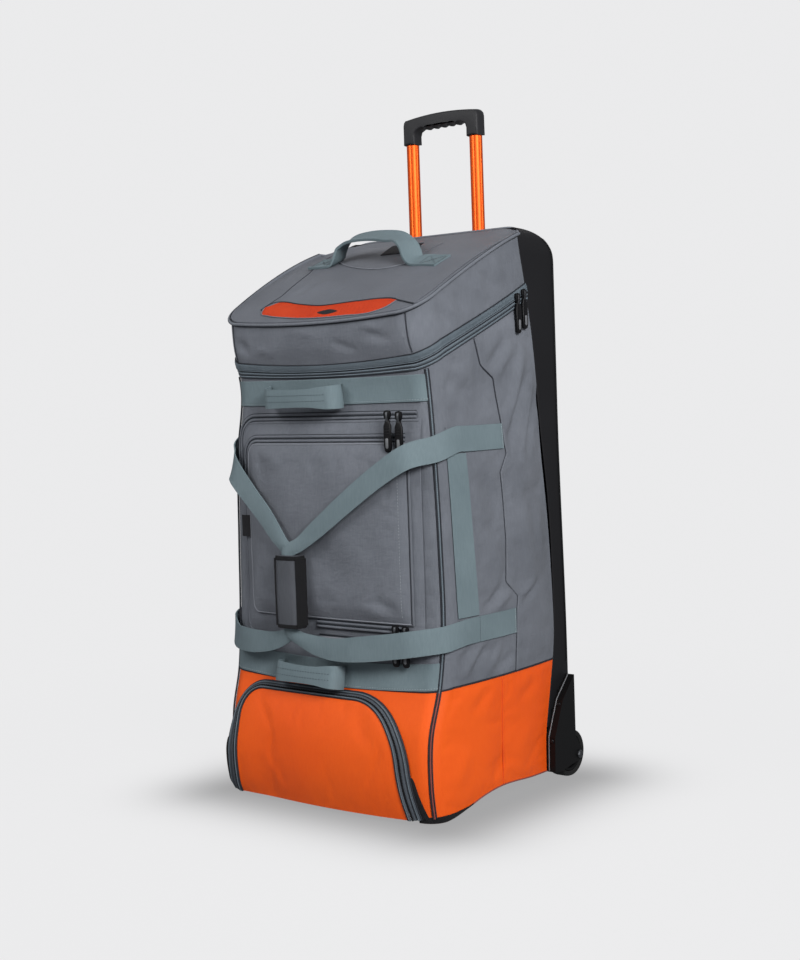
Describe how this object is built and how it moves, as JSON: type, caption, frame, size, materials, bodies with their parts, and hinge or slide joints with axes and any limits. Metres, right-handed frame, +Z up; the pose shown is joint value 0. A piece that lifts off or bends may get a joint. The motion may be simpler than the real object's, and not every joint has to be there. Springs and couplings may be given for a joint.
{
  "type": "wheeled gear bag",
  "caption": "Tall upright gear bag with a sloping zipped lid, front pockets, carrying straps, a boot compartment, a pull-out handle and wheels at the lower rear.",
  "frame": {"origin": "on the floor, under the middle of the bag's bounding box", "axes": "+Z up, +Y from the pocketed front to the moulded back, +X to the right for someone who faces the front"},
  "size_m": [0.4458, 0.43, 1.083],
  "materials": {
    "body_fabric": "grey woven polyester",
    "boot_fabric": "orange coated fabric",
    "vent_mesh": "orange mesh",
    "webbing": "blue grey woven webbing",
    "zip_tape": "dark grey zip tape and piping",
    "wrap_fabric": "padded grey fabric with black edges",
    "label": "black woven label, bare",
    "black_plastic": "black moulded plastic",
    "grip_plastic": "black soft-touch plastic",
    "orange_tube": "orange anodised",
    "steel": "plain steel",
    "tyre": "black rubber"
  },
  "bodies": {
    "bag": {"main_body": "body_fabric", "lid_gusset": "body_fabric", "lid_top": "body_fabric", "lid_piping": "body_fabric", "outer_pocket": "body_fabric", "inner_pocket": "body_fabric", "boot_body": "boot_fabric", "boot_door": "boot_fabric", "lid_vent": "vent_mesh", "lid_handle": "webbing", "upper_band": "webbing", "lower_band": "webbing", "upper_grab": "webbing", "lower_grab": "webbing", "strap_left": "webbing", "strap_right": "webbing", "side_webbing_left": "webbing", "side_webbing_right": "webbing", "lid_zip": "zip_tape", "boot_zip": "zip_tape", "outer_zip": "zip_tape", "inner_zip": "zip_tape", "lower_zip": "zip_tape", "corner_piping_left": "zip_tape", "corner_piping_right": "zip_tape", "grip_wrap": "wrap_fabric", "lid_label": "label", "pocket_label": "label", "back_panel": "black_plastic", "handle_bezel": "black_plastic", "base_panel": "black_plastic", "base_foot_left": "black_plastic", "base_foot_right": "black_plastic", "wheel_housing_left": "black_plastic", "wheel_housing_right": "black_plastic", "outer_pull_1": "black_plastic", "outer_pull_2": "black_plastic", "lower_pull_1": "black_plastic", "lower_pull_2": "black_plastic", "lid_zip_pull_1": "black_plastic", "lid_zip_pull_2": "black_plastic", "axle_left": "steel", "axle_right": "steel", "guide_tube_left": "steel", "guide_tube_right": "steel"},
    "handle": {"handle_tube_left": "orange_tube", "handle_tube_right": "orange_tube", "handle_grip": "grip_plastic"},
    "wheel_left": {"wheel_hub_left": "black_plastic", "tyre_left": "tyre"},
    "wheel_right": {"wheel_hub_right": "black_plastic", "tyre_right": "tyre"}
  },
  "joints": [
    {"name": "handle_slide", "type": "slide", "parent": "bag", "child": "handle", "axis": [0, 0, 1], "range_m": [-0.155, 0]},
    {"name": "wheel_left_spin", "type": "hinge", "parent": "bag", "child": "wheel_left", "pos_m": [-0.191, 0.177, 0.038], "axis": [1, 0, 0], "continuous": true},
    {"name": "wheel_right_spin", "type": "hinge", "parent": "bag", "child": "wheel_right", "pos_m": [0.191, 0.177, 0.038], "axis": [1, 0, 0], "continuous": true}
  ]
}
